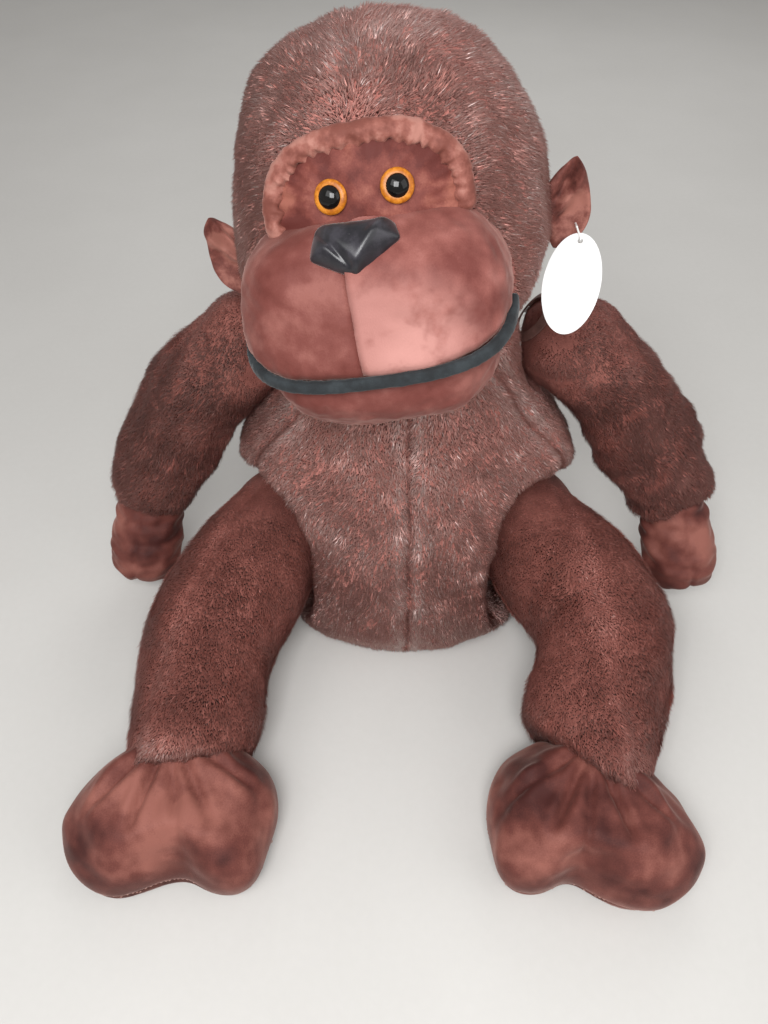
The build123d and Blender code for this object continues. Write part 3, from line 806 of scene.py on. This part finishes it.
def make_foot(side):
    sign = SIDES[side]
    names = [f"{side}_foot_upper", f"{side}_foot_sole", f"{side}_foot_stuffing"]
    verts, faces, out = skin_of(names, 3 * MM, 10)
    high = verts[:, 2]
    wall = smooth(high, 1 * MM, 8 * MM)
    seam = bump(high - SOLE_EDGE, 2.4 * MM)
    folds = waves(verts * [0.5, 1.1, 1.3], 0.034, 71 + sign, 18)
    fold_zone = smooth(high, 24 * MM, 60 * MM)
    ankle = centre_of(*names) + [0, 46 * MM, 0]
    turn = np.arctan2(verts[:, 0] - ankle[0], -(verts[:, 1] - ankle[1]))
    reach = distance_to(verts[:, :2], ankle[:2])
    pinches = np.zeros(len(verts))
    for angle, depth in FOOT_PINCHES:
        gap = (turn - radians(angle) * sign) * reach
        pinches += depth * MM * (bump(gap, 3.2 * MM) - 0.45 * bump(np.abs(gap) - 8 * MM, 4 * MM))
    near_cuff = 1 - smooth(reach, 62 * MM, 100 * MM)
    pinches = 1.7 * pinches * smooth(high, 34 * MM, 62 * MM) * near_cuff
    shape = 1.0 * MM * folds * fold_zone + 2.0 * MM * waves(verts, 0.07, 73 + sign) - pinches
    verts = verts + out * ((shape + 0.8 * MM - 2.4 * MM * seam) * wall)[:, None]
    verts[:, 2] = np.maximum(verts[:, 2], FLOOR_GAP)
    index = (verts[faces].mean(1)[:, 2] < SOLE_EDGE).astype(int)
    obj = make_object(f"{side}_foot_velour", verts, faces, [velour, velour_sole], index)
    declare(obj, f"{side}_leg", "velour", *names, fill=0.85)


# ---- head
# Painted sheen on the hood, light patches of pile: place in head coordinates and reach, in mm.
HEAD_PAINTED_SHEEN = [
    ((-12, -66, 100), 26), ((40, -40, 112), 22), ((92, -40, 62), 26), ((108, -45, 5), 22),
    ((-98, -55, 20), 20),
]


def make_head_plush():
    names = [f"{side}_head_{end}_panel" for side in SIDES for end in ("front", "back")]
    verts, faces, out = skin_of(names + ["head_stuffing", "face_panel"], 4 * MM)
    local = to_head(verts)
    seam = np.where(local[:, 2] > 0, np.abs(local[:, 0]), 1.0)
    slim = 9 * MM * smooth(-local[:, 0], 40 * MM, 110 * MM) * bump(local[:, 2] - 45 * MM, 62 * MM)
    swell = 1.8 * MM * waves(verts, 0.08, 81)
    inward = BACKING_DEPTH + 2.0 * MM * bump(seam, 5 * MM) + slim - swell
    verts = verts - out * inward[:, None]
    skin = make_object("head_stuffed", verts, faces, [backing])
    declare(skin, "head", "plush", "head_stuffing", fill=0.85)

    def keep(centre, normal):
        q = to_head(centre)
        x, y, z = q.T
        across, up = (x - BROW_MIDDLE) / (64 * MM), (z - BROW_BASE) / (49 * MM)
        window = np.abs(across) ** 2.5 + np.abs(up) ** 2.5 < 1
        covered = (y < 0) & window
        m = q - MUZZLE_AT
        m[:, 0] = shortened(m[:, 0], MUZZLE_STRAIGHT)
        covered |= np.linalg.norm(m, axis=1) < MUZZLE_RADIUS + 1 * MM
        neck = (centre[:, 2] < HEAD[2] - 95 * MM) & (normal[:, 2] < -0.6)
        return np.where(covered, 0.0, np.where(neck, 0.25, 1.0))

    def comb(points):
        q = to_head(points)
        away = unit(q - [0, -70 * MM, 5 * MM])
        away[:, 0] += 0.5 * np.sign(q[:, 0]) * smooth(np.abs(q[:, 0]), 0, 12 * MM)
        away[:, 2] -= 0.7 * smooth(np.abs(q[:, 0]), 30 * MM, 100 * MM)
        away[:, 2] -= 0.8 * smooth(q[:, 1], 0, 60 * MM)
        return away @ HEAD_AXES.T

    def tone(points, normal):
        q = to_head(points)
        # Painted sheen: the pile is drawn lighter round the listed points.
        painted_sheen = np.zeros(len(q))
        for place, reach in HEAD_PAINTED_SHEEN:
            painted_sheen += 0.15 * bump(distance_to(q, np.array(place) * MM), reach * MM)
        return 0.60 + 0.05 * waves(points, 0.06, 82) + 0.03 * waves(points, 0.013, 83) + painted_sheen

    roots, normal, source = scatter(verts, faces, PILE_DENSITY, 84, keep)
    q = to_head(roots)
    for side, sign in SIDES.items():
        for end, towards in (("front", -1), ("back", 1)):
            use = (q[:, 0] * sign >= 0) & (q[:, 1] * towards >= 0)
            grow(f"{side}_head_{end}", roots[use], normal[use], source, comb, tone, "head")


def head_outward(points):
    """Outward direction of the skull at points in head coordinates."""
    q = np.array(points, float)
    q[..., 2] = shortened(q[..., 2], SKULL_STRAIGHT)
    return unit(q)


def on_skull(x, z, lift=0.0):
    """Points on the front of the skull over x and z, lifted off it, in head coordinates."""
    above = np.maximum(np.abs(z) - SKULL_STRAIGHT, 0)
    y = -np.sqrt(np.maximum(SKULL_RADIUS**2 - x**2 - above**2, 1e-9))
    points = np.stack([x, y, z], -1)
    return points + head_outward(points) * np.asarray(lift)[..., None]


def head_outward(points):
    """Outward direction of the skull at points in head coordinates."""
    q = np.array(points, float)
    q[..., 2] = np.sign(q[..., 2]) * np.maximum(np.abs(q[..., 2]) - SKULL_STRAIGHT, 0)
    return unit(q)


def on_skull(x, z, lift=0.0):
    """Points on the front of the skull over x and z, lifted off it, in head coordinates."""
    above = np.maximum(np.abs(z) - SKULL_STRAIGHT, 0)
    y = -np.sqrt(np.maximum(SKULL_RADIUS**2 - x**2 - above**2, 1e-9))
    points = np.stack([x, y, z], -1)
    return points + head_outward(points) * np.asarray(lift)[..., None]


def make_face_panel():
    """The flat velour window behind the eyes."""
    around = np.linspace(0, 2 * pi, 160, endpoint=False)
    r, turn = grid(np.linspace(TINY, 1, 40), around)
    x = BROW_MIDDLE + r * 60 * MM * np.cos(turn)
    z = BROW_BASE + r * 46 * MM * np.sin(turn)
    lift = np.full(r.shape, 1.2 * MM)
    for sign in SIDES.values():
        away = np.hypot(x - EYE_MIDDLE - sign * EYE_SPREAD, z - EYE_HEIGHT)
        lift = lift - 1.4 * MM * bump(away, 13 * MM) + 0.9 * MM * bump(away - 17 * MM, 5 * MM)
    gathers = np.sin(turn * 31 + 1.7 * np.sin(turn * 5)) * smooth(r, 0.55, 0.95)
    lift = lift + 0.7 * MM * gathers * (z > 0)
    lift = lift + 0.4 * MM * waves(np.stack([x, z, 0 * x], -1), 0.02, 91)
    outer, inner = on_skull(x, z, lift), on_skull(x, z, lift - 3 * MM)
    head_shell("face_velour", outer, inner, velour_face, "velour_dark", "face_panel", wrap=True)


def brow_line(turn):
    """X and Z of the arch over the eyes."""
    x = BROW_MIDDLE + BROW_HALF_WIDTH * signed_power(np.cos(turn), 0.8)
    z = BROW_BASE + BROW_RISE * signed_power(np.sin(turn), 0.8)
    return x, z


def make_brow():
    """The gathered roll of velour that arches over the eyes."""
    turn = np.linspace(radians(-9), radians(189), 260)
    x, z = brow_line(turn)
    line = on_skull(x, z, np.zeros(len(x)))
    out = head_outward(line)
    ahead = unit(np.gradient(line, axis=0))
    inward = unit(np.cross(out, ahead))
    length = np.concatenate([[0], np.cumsum(np.linalg.norm(np.diff(line, axis=0), axis=1))])
    end = np.minimum(length, length[-1] - length)
    close = np.sqrt(smooth(end, -0.5 * MM, 6 * MM))[:, None]
    around = np.linspace(0, 2 * pi, 28, endpoint=False)
    s, a = grid(length, around)
    crease = waves(np.stack([s, 4 * MM * np.cos(a), 4 * MM * np.sin(a)], -1), 0.0065, 93)
    broad = waves(np.stack([s, 0 * s, 0 * s], -1), 0.024, 94)
    inner_edge = bump(a, 1.0) + bump(a - 2 * pi, 1.0)
    grow_by = 1 + 0.05 * broad + crease * (0.05 + 0.13 * inner_edge)
    wide = (7.2 * MM * grow_by) * close
    tall = (6.0 * MM * grow_by) * close
    ring = (
        line[:, None] + inward[:, None] * (wide * np.cos(a))[..., None]
        + out[:, None] * (1.0 * MM + tall * np.sin(a))[..., None]
    )
    obj = tube("brow_roll", from_head(ring), velour_brow)
    declare(obj, "head", "velour", "brow_band", fill=0.5)


def muzzle_points(rise, turn, wide=MUZZLE_WIDE, deep=MUZZLE_DEEP, high=MUZZLE_HIGH):
    """Points on the boxy muzzle, by the angle over its middle and the turn from straight ahead."""
    power = 2 / MUZZLE_BOX
    shrink = np.abs(np.cos(rise)) ** power
    x = wide * shrink * signed_power(np.sin(turn), power)
    y = -deep * shrink * signed_power(np.cos(turn), power)
    z = high * signed_power(np.sin(rise), power)
    return np.stack([x, y, z], -1)


def mouth_rise(turn, drop=0.0):
    """The angle at which the mouth's plane cuts the muzzle, for each turn."""
    rise = np.full(np.shape(turn), -0.3)
    for _ in range(25):
        y = muzzle_points(rise, turn)[..., 1]
        level = np.clip((MOUTH_LEVEL - drop + y * MOUTH_SLOPE) / MUZZLE_HIGH, -0.98, 0.98)
        rise = np.arcsin(signed_power(level, MUZZLE_BOX / 2)) * 0.5 + rise * 0.5
    return rise


def make_muzzle():
    for side, sign in SIDES.items():
        around = np.linspace(MUZZLE_SEAM, sign * radians(128), 120)
        share, turn = grid(np.linspace(0, 1, 90), around)
        low = mouth_rise(turn, -4 * MM)
        rise = low + share * (radians(86) - low)
        points = muzzle_points(rise, turn)
        out = grid_normals(points) * sign
        edge = np.linalg.norm(points - points[:1], axis=-1)
        gap = points[..., 0] - points[:, :1, 0]
        dip = 1.6 * MM * bump(gap, 2.6 * MM) + 3.0 * MM * bump(edge, 3.5 * MM)
        soft = 1.4 * waves(points, 0.06, 95 + sign) + 0.35 * waves(points, 0.013, 97 + sign)
        puckers = 0.5 * MM * waves(points * [1, 1, 0.25], 0.010, 99 + sign)
        puckers = puckers * bump(edge - 7 * MM, 6 * MM)
        outer = points + out * (soft * MM + puckers - dip)[..., None]
        inner = points - out * 6 * MM
        if sign < 0:
            outer, inner = outer[:, ::-1], inner[:, ::-1]
        # The left half wears the lighter copy of the velour, painted sheen.
        cloth = velour_muzzle_painted_sheen if side == "left" else velour_muzzle
        head_shell(
            f"{side}_muzzle_velour", outer + MUZZLE_AT, inner + MUZZLE_AT, cloth,
            "velour", f"{side}_muzzle_panel", fill=0.8,
        )


def make_chin():
    around = np.linspace(radians(-125), radians(125), 200)
    share, turn = grid(np.linspace(0, 1, 60), around)
    low = mouth_rise(turn, 4 * MM)
    rise = low + share * (radians(-87) - low)
    points = muzzle_points(rise, turn, MUZZLE_WIDE * 0.90, MUZZLE_DEEP - 5 * MM, MUZZLE_HIGH)
    out = -grid_normals(points)
    edge = np.linalg.norm(points - points[:1], axis=-1)
    lift = 1.2 * MM * waves(points, 0.05, 101) + 0.4 * MM * waves(points, 0.012, 102)
    outer = points + out * (lift - 2.5 * MM * bump(edge, 4 * MM))[..., None]
    inner = points - out * 6 * MM
    head_shell(
        "chin_velour", outer + MUZZLE_AT, inner + MUZZLE_AT, velour_muzzle,
        "velour", "chin_panel", fill=0.8,
    )


def make_mouth():
    """The felt strip between the muzzle and the chin."""
    turn = np.linspace(radians(-108), radians(86), 300)
    line = muzzle_points(mouth_rise(turn), turn) + MUZZLE_AT
    ahead = unit(np.gradient(line, axis=0))
    out = unit((line - MUZZLE_AT) * [1, 1, 0.2])
    out = unit(out - ahead * (out * ahead).sum(1)[:, None])
    up = np.cross(ahead, out)
    around = np.linspace(0, 2 * pi, 20, endpoint=False)
    s, a = grid(np.arange(300) * MM, around)
    rough = np.stack([s, 3 * MM * np.cos(a), 3 * MM * np.sin(a)], -1)
    size = 1 + 0.04 * waves(rough, 0.005, 103)
    tall = MOUTH_HALF_HEIGHT * size * signed_power(np.sin(a), 0.7)
    deep = MOUTH_HALF_DEPTH * size * signed_power(np.cos(a), 0.7) - 0.3 * MM
    outer = line[:, None] + up[:, None] * tall[..., None] + out[:, None] * deep[..., None]
    inner = line[:, None] + 0.3 * (outer - line[:, None])
    head_shell("mouth_felt", outer, inner, felt, "felt_mouth", "mouth_strip", wrap=True)


# The nose's outline, in mm, and how far up the muzzle it sits, in degrees.
NOSE_OUTLINE = [(-25, 24), (25, 20), (29, 1), (11, -19), (1, -28), (-12, -21), (-28, -9)]
NOSE_RISE = 46


def make_nose():
    """A stuffed satin nose with a ridge and a crease that meet at its tip."""
    corners = np.array(NOSE_OUTLINE, float) * MM
    angles = np.arctan2(corners[:, 1], corners[:, 0])
    order = np.argsort(angles)
    corners, angles = corners[order], angles[order]
    turn = np.linspace(-pi, pi, 180, endpoint=False)
    looped = np.concatenate([corners[-1:], corners, corners[:1]])
    steps = np.concatenate([angles[-1:] - 2 * pi, angles, angles[:1] + 2 * pi])
    place = np.searchsorted(steps, turn, side="right") - 1
    a, b = looped[place], looped[place + 1]
    ray = np.stack([np.cos(turn), np.sin(turn)], 1)
    edge = b - a
    reach = (a[:, 0] * edge[:, 1] - a[:, 1] * edge[:, 0]) / (
        ray[:, 0] * edge[:, 1] - ray[:, 1] * edge[:, 0]
    )
    for _ in range(6):
        reach = (np.roll(reach, 1) + 2 * reach + np.roll(reach, -1)) / 4
    r = np.linspace(TINY, 1, 40)[:, None]
    u, v = r * reach * ray[:, 0], r * reach * ray[:, 1]

    def line_gap(p, q):
        p, q = np.array(p) * MM, np.array(q) * MM
        d = unit(q - p)
        along = np.clip((u - p[0]) * d[0] + (v - p[1]) * d[1], 0, np.linalg.norm(q - p))
        return np.hypot(u - p[0] - along * d[0], v - p[1] - along * d[1])

    ridge = line_gap((22, 17), (1, -25))
    crease = line_gap((-23, 14), (-2, -20))
    height = 11.5 * MM * (1 - r**3.2) + 2.6 * MM * bump(ridge, 4 * MM) * (1 - r**6)
    height = height - 2.4 * MM * bump(crease, 2.6 * MM) * (1 - r**6)
    rise = radians(NOSE_RISE) + v / (MUZZLE_RADIUS + 4 * MM)
    base = muzzle_points(rise, 0 * u)
    base[..., 0] = u
    flat_out = unit(np.stack([0.3 * u / MUZZLE_WIDE, -np.cos(rise), np.sin(rise)], -1))
    outer = base + flat_out * (height - 1 * MM)[..., None] + MUZZLE_AT
    inner = base - flat_out * 4 * MM + MUZZLE_AT
    head_shell("nose_satin_pad", outer, inner, satin, "satin_nose", "nose", wrap=True, fill=0.7)


def lathe(name, profile, place, axes, material):
    """A turned piece from (radius, height) steps, closed on its axis at both ends."""
    turn = np.linspace(0, 2 * pi, 64, endpoint=False)
    rings = np.array([[[r * cos(t), r * sin(t), h] for t in turn] for r, h in profile])
    return tube(name, place + rings @ axes, material)


# Steps of the eye's disc and of the dome's foot: radius and height, in mm.
EYE_DISC = [
    (2.2, -13), (2.2, 0.6), (9.6, 0.8), (10.4, 1.4), (10.6, 2.2), (10.3, 3.1), (9.2, 3.9),
    (7.4, 4.3), (6.6, 4.2),
]
EYE_FOOT = [(6.0, 3.4), (7.1, 3.5)]


def make_eyes():
    bend = np.radians(np.linspace(0, 86, 14))
    dome = EYE_FOOT + [(7.2 * cos(b), 3.6 + 4.6 * sin(b)) for b in bend]
    for side, sign in SIDES.items():
        base = on_skull(np.array([EYE_MIDDLE + sign * EYE_SPREAD]), np.array([EYE_HEIGHT]))[0]
        out = head_outward(base)
        across = unit(np.cross([0, 0, 1], out))
        axes = np.stack([across, np.cross(out, across), out]) @ HEAD_AXES.T
        place = from_head(base)
        made = lathe(f"{side}_eye_ring", np.array(EYE_DISC) * MM, place, axes, amber)
        declare(made, "head", "eye_amber", f"{side}_eye_disc")
        made = lathe(f"{side}_eye_dome", np.array(dome) * MM, place, axes, black)
        declare(made, "head", "eye_black", f"{side}_eye_pupil")


def make_ear(side):
    """A folded velour ear, gathered where it is sewn to the hood."""
    sign = SIDES[side]
    u, v = grid(np.linspace(0, 1, 40), np.linspace(-1, 1, 80))
    lower, upper = np.sqrt(1 - 0.92 * np.abs(v) ** 2.2), 1 - 0.22 * np.abs(v) ** 3
    x = -4 * MM + u * 35 * MM * np.where(v < 0, lower, upper)
    z = 28 * MM * v * (0.60 + 0.40 * smooth(u, 0.0, 0.6))
    z = z + 7 * MM * smooth(u, 0.45, 1.0) * smooth(v, 0.2, 1.0)
    cup = 7 * MM * (1 - v**2) * np.sin(u * pi * 0.8)
    fold = 6 * MM * bump(v + 0.35 - 1.1 * u, 0.20) * smooth(u, 0.05, 0.4)
    fold = fold - 4 * MM * bump(v - 0.15 - 0.9 * u, 0.16) * smooth(u, 0.1, 0.5)
    y = 2 * MM + cup - fold - 3.5 * MM * smooth(u, 0.6, 1.0)
    y = y + 0.7 * MM * waves(np.stack([x, y, z], -1), 0.016, 111)
    thick = 0.6 * MM + 4.2 * MM * np.sqrt(np.maximum(1 - u**6, 0) * np.maximum(1 - v**8, 0))
    front, rear = (
        (np.stack([x, layer, z], -1) + EAR_AT) * [sign, 1, 1] for layer in (y - thick, y + thick)
    )
    nodes = (f"{side}_ear_front", f"{side}_ear_back")
    head_shell(f"{side}_ear_folded", front, rear, velour_ear, "velour", *nodes, fill=0.4)


# ---- small things
def make_stitches(side):
    """Thread that shows along the seam between a foot and its sole."""
    foot = points_of(bpy.data.objects[f"{side}_foot_velour"].data).astype(float)
    line = outline_at(foot, SOLE_EDGE + 0.5 * MM, 640)
    along = np.cumsum(distance_to(line, np.roll(line, -1, axis=0)))
    count = int(along[-1] / STITCH_STEP)
    middles = (np.arange(count) + 0.5) * along[-1] / count
    centre = np.stack([np.interp(middles, along, line[:, c]) for c in range(3)], 1)
    ahead = unit(np.roll(centre, -1, axis=0) - np.roll(centre, 1, axis=0))
    up = np.array([0, 0, 1.0])
    out = np.cross(ahead, up)
    out = out * np.sign(((centre - centre.mean(0)) * out).sum(1))[:, None]
    half, thin = 1.6 * MM, 0.42 * MM
    corners = np.stack(
        [
            centre - ahead * half, centre + ahead * half,
            centre + out * thin * 1.6, centre + up * thin, centre - out * thin, centre - up * thin,
        ], 1,
    ) + out[:, None] * 0.5 * MM
    order = np.array(
        [[0, 2, 3], [0, 3, 4], [0, 4, 5], [0, 5, 2], [1, 3, 2], [1, 4, 3], [1, 5, 4], [1, 2, 5]]
    )
    faces = (np.arange(count)[:, None, None] * 6 + order).reshape(-1, 3)
    made = make_object(f"{side}_sole_stitches", corners.reshape(-1, 3), faces, [thread])
    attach(made, f"{side}_leg")


def make_label():
    """A blank folded ribbon, sewn in low on the left of the back."""
    outwards = unit([0.67, 0.74, 0])
    side_way = np.array([-outwards[1], outwards[0], 0])
    run, wide = grid(np.linspace(-1, 1, 40), np.linspace(-1, 1, 24))
    reach = 13 * MM * (1 - run**2) ** 0.5
    gap = 1.6 * MM * run
    points = (
        centre_of("care_label") + outwards * (reach - 5 * MM)[..., None] + side_way * gap[..., None]
        + np.array([0, 0, 1.0]) * (15 * MM * wide + 0.8 * MM * np.sin(3 * run))[..., None]
    )
    out = grid_normals(points)
    obj = shell("care_label_ribbon", points + out * 0.15 * MM, points - out * 0.15 * MM, ribbon)
    declare(obj, "torso", "label", "care_label")


# ---- studio
FLOOR_REACH = 3
LIGHTS = [                   # name, place, power in watts, width
    ("front_light", (-0.08, -0.72, 1.00), 11, 0.5),
    ("key_light", (-0.9, -1.3, 1.9), 16, 1.4),
    ("fill_light", (1.5, -0.7, 1.2), 10, 1.6),
    ("back_light", (0.3, 1.6, 1.5), 9, 1.5),
]
LIGHTS_AIM = (0, 0, 0.25)
WORLD_COLOUR, WORLD_STRENGTH = (1.0, 0.98, 0.96, 1), 0.42
CAMERA_SENSOR, CAMERA_LENS, CAMERA_DOWN = 36, 29.15, 47    # mm, mm, degrees
CAMERA_RIGHT, CAMERA_AHEAD, CAMERA_HEIGHT = -0.0218, -0.6155, 0.7292    # from the torso's axis


def make_studio():
    paint = patterned(
        "pale_floor", 0.20, [(0.54, 0.53, 0.51), (0.58, 0.57, 0.55)],
        3.0, 120.0, 0.05, 0.0005, roughness=0.8,
    )
    corners = np.array([[-1, -1, 0], [1, -1, 0], [1, 1, 0], [-1, 1, 0]]) * FLOOR_REACH
    make_object("floor", corners, [[0, 1, 2, 3]], [paint])
    bpy.context.scene.view_settings.view_transform = "Standard"
    world = bpy.data.worlds.new("studio")
    world.use_nodes = True
    sky = world.node_tree.nodes["Background"]
    sky.inputs["Color"].default_value = WORLD_COLOUR
    sky.inputs["Strength"].default_value = WORLD_STRENGTH
    bpy.context.scene.world = world
    for name, place, power, size in LIGHTS:
        data = bpy.data.lights.new(name, "AREA")
        data.energy = power
        data.size = size
        light = bpy.data.objects.new(name, data)
        bpy.context.scene.collection.objects.link(light)
        light.location = place
        aim = Vector(LIGHTS_AIM) - light.location
        light.rotation_euler = aim.to_track_quat("-Z", "Y").to_euler()


def make_camera():
    """Looks down at the toy from in front."""
    data = bpy.data.cameras.new("camera")
    data.sensor_width = CAMERA_SENSOR
    data.lens = CAMERA_LENS
    camera = bpy.data.objects.new("camera", data)
    bpy.context.scene.collection.objects.link(camera)
    camera.location = (AXIS_X + CAMERA_RIGHT, AXIS_Y + CAMERA_AHEAD, CAMERA_HEIGHT)
    camera.rotation_euler = (radians(90 - CAMERA_DOWN), 0, 0)
    bpy.context.scene.camera = camera


make_camera()
make_studio()
make_torso()
make_head_plush()
make_face_panel()
make_brow()
make_muzzle()
make_chin()
make_mouth()
make_nose()
make_eyes()
make_label()
for side in SIDES:
    make_arm(side)
    make_hand(side)
    make_leg(side)
    make_foot(side)
    make_ear(side)
    make_stitches(side)

carried = {
    "neck_stitching": sewing, "hip_stitching": sewing,
    "left_shoulder_stitching": sewing, "right_shoulder_stitching": sewing,
    "eye_washers": plastic, "tag_fastener": plastic, "hang_tag": card,
}
for name, material in carried.items():
    mesh = frame["nodes"][name].data
    mesh.materials.clear()
    mesh.materials.append(material)
